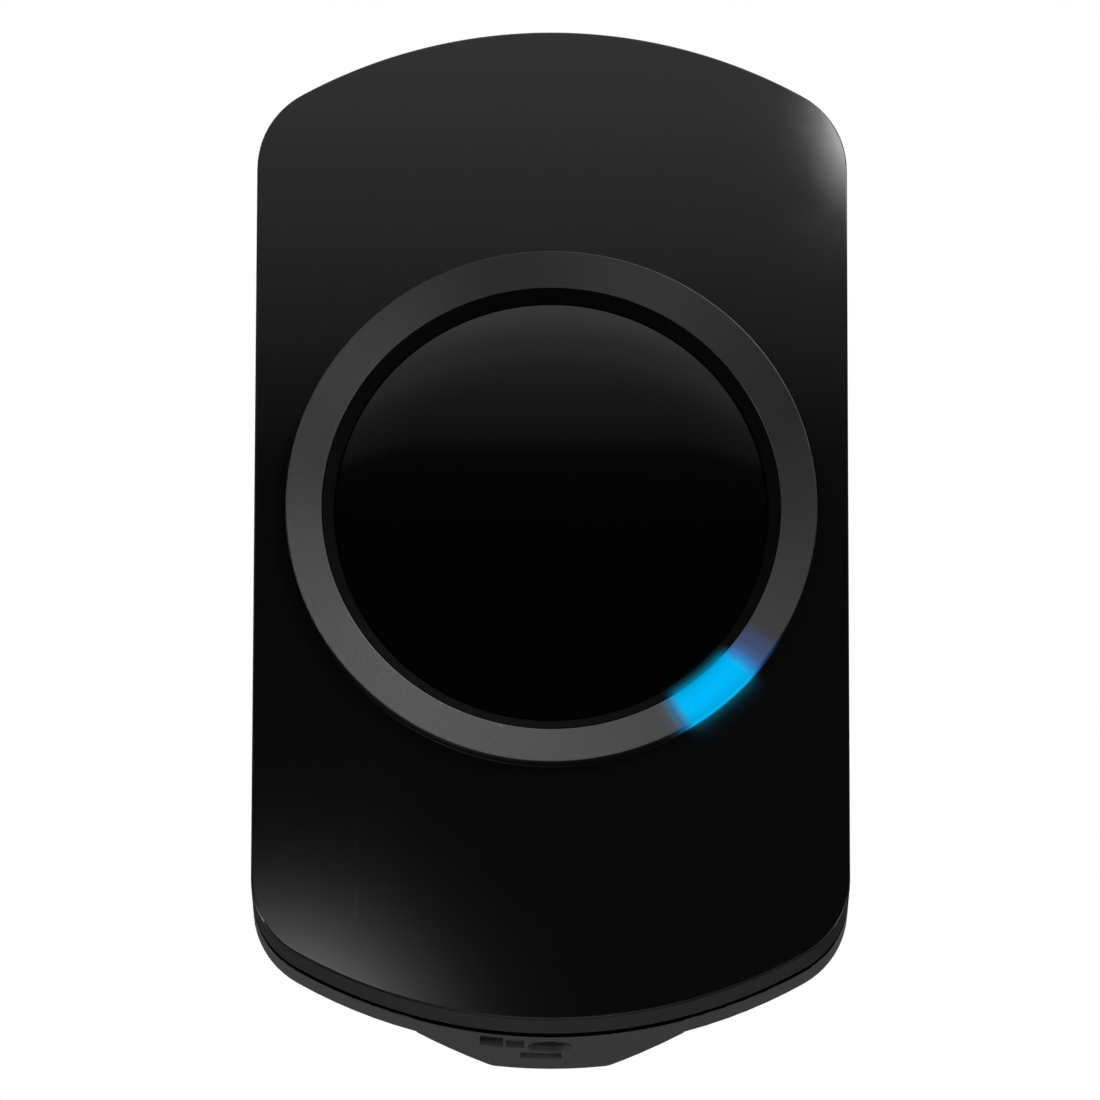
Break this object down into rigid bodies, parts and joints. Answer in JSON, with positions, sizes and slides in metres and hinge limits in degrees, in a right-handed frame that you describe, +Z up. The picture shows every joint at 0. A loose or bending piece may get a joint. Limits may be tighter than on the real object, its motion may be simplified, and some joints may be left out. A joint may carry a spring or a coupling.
{
  "type": "video doorbell",
  "caption": "Wall-mounted video doorbell: tall black body, light ring around a round tinted push button window, narrow rear spine on a steel bracket.",
  "frame": {"origin": "centre of the wall face, on the back of the steel bracket", "axes": "+Z up along the body's length; +Y into the wall, so the front looks along -Y; +X to the right for someone facing the doorbell"},
  "size_m": [0.062, 0.023, 0.1072],
  "materials": {
    "gloss_black": "gloss",
    "tape_black": "matte",
    "ring_grey": "satin matte",
    "white_plastic": "matte",
    "board_green": "satin",
    "led_white": "gloss",
    "bezel_black": "satin",
    "window_black": "gloss",
    "inner_black": "matte",
    "silicone": "matte",
    "switch_black": "matte",
    "lens_glass": "gloss",
    "black_rubber": "matte",
    "chip_black": "matte",
    "led_clear": "gloss",
    "cable_amber": "satin",
    "screw_steel": "satin",
    "shield_steel": "satin",
    "capacitor_aluminium": "satin",
    "speaker_steel": "satin",
    "cone_paper": "matte",
    "black_foam": "matte",
    "mesh_black": "matte",
    "battery_foil": "satin",
    "terminal_green": "satin",
    "frame_black": "satin",
    "seal_black": "matte",
    "housing_grey": "matte",
    "bracket_steel": "satin",
    "black_screw": "satin"
  },
  "bodies": {
    "case": {"faceplate": "gloss_black", "faceplate_tape": "tape_black", "light_ring": "ring_grey", "light_baffle": "white_plastic", "ring_led_board": "board_green", "ring_leds": "led_white", "button_bezel": "bezel_black", "button_membrane": "silicone", "switch_bodies": "switch_black", "camera_holder": "inner_black", "camera_barrel": "inner_black", "camera_lens": "lens_glass", "camera_shroud": "black_rubber", "image_sensor": "chip_black", "infrared_leds": "led_clear", "inner_chassis": "inner_black", "ring_board_cable": "cable_amber", "main_board": "board_green", "board_screws": "screw_steel", "processor_shield": "shield_steel", "processor_chip": "chip_black", "memory_chip": "chip_black", "power_inductor": "chip_black", "capacitors": "capacitor_aluminium", "wifi_antenna": "cable_amber", "speaker": "speaker_steel", "speaker_cone": "cone_paper", "speaker_gasket": "black_foam", "microphone": "shield_steel", "microphone_seal": "black_rubber", "sound_mesh": "mesh_black", "backup_battery": "battery_foil", "battery_pad": "black_foam", "battery_connector": "white_plastic", "terminal_block": "terminal_green", "terminal_screws": "screw_steel", "mid_frame": "frame_black", "housing_seal": "seal_black", "rear_housing": "housing_grey", "case_screws": "screw_steel", "wall_bracket": "bracket_steel", "lock_screw": "black_screw"},
    "button": {"button_disc": "window_black", "button_carrier": "inner_black"},
    "plungers": {"switch_plungers": "inner_black"}
  },
  "joints": [
    {"name": "button_press", "type": "slide", "parent": "case", "child": "button", "axis": [0, 1, 0], "range_m": [0, 0.0005], "stiffness_N_per_m": 3000, "springref_m": -0.0003, "deforming": ["button_membrane"]},
    {"name": "switch_press", "type": "slide", "parent": "case", "child": "plungers", "axis": [0, 1, 0], "range_m": [0, 0.0005]}
  ],
  "couplings": [
    {"joint": "switch_press", "follows": "button_press", "ratio": 1}
  ]
}
